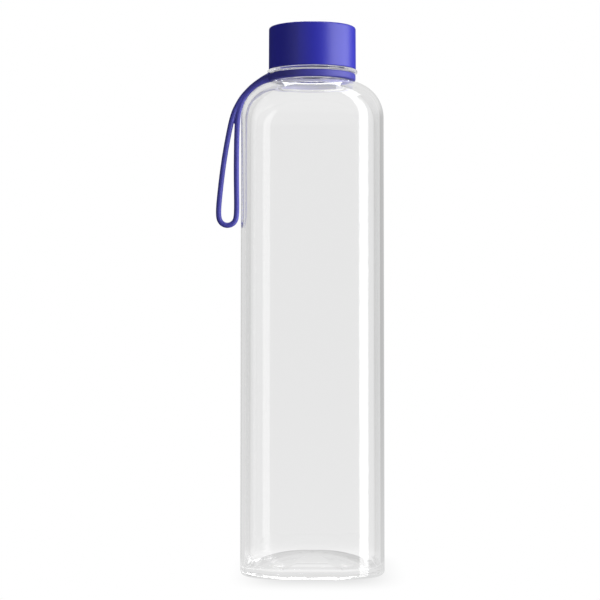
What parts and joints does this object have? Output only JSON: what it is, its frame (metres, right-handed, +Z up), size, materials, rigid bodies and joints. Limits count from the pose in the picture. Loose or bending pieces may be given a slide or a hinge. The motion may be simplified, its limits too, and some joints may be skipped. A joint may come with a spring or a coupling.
{
  "type": "water bottle",
  "caption": "Tall clear water bottle of rounded square section with a plain round screw cap and a silicone neck strap that ends in a hanging carry loop.",
  "frame": {"origin": "on the bottle's vertical axis, in the plane that it stands on", "axes": "+Z up along the neck axis; the four flat sides face +X, -X, +Y and -Y; the strap hangs on the -X side"},
  "size_m": [0.0829, 0.0698, 0.2681],
  "materials": {
    "bottle_clear": "clear polished copolyester",
    "cap_blue": "fine matte moulded",
    "insert_blue": "plain moulded",
    "gasket_white": "smooth silicone",
    "strap_silicone": "soft matte silicone"
  },
  "bodies": {
    "bottle": {"bottle_body": "bottle_clear"},
    "cap_seal": {"cap_gasket": "gasket_white"},
    "cap": {"cap_shell": "cap_blue", "cap_thread_insert": "insert_blue"},
    "strap_ring": {"strap_neck_ring": "strap_silicone"},
    "strap_tail": {"strap_loop": "strap_silicone"}
  },
  "joints": [
    {"name": "cap_rise", "type": "slide", "parent": "bottle", "child": "cap_seal", "axis": [0, 0, 1], "range_m": [0, 0.0201]},
    {"name": "cap_turn", "type": "hinge", "parent": "cap_seal", "child": "cap", "pos_m": [0, 0, 0.255], "axis": [0, 0, 1], "range_deg": [0, 1800]},
    {"name": "strap_swivel", "type": "hinge", "parent": "bottle", "child": "strap_ring", "pos_m": [0, 0, 0.2432], "axis": [0, 0, 1], "range_deg": [-10, 10]},
    {"name": "loop_swing", "type": "hinge", "parent": "strap_ring", "child": "strap_tail", "pos_m": [-0.0246, 0, 0.24175], "axis": [0, 1, 0], "range_deg": [0, 120]}
  ],
  "couplings": [
    {"joint": "cap_rise", "follows": "cap_turn", "m_per_rad": 0.00063662}
  ]
}
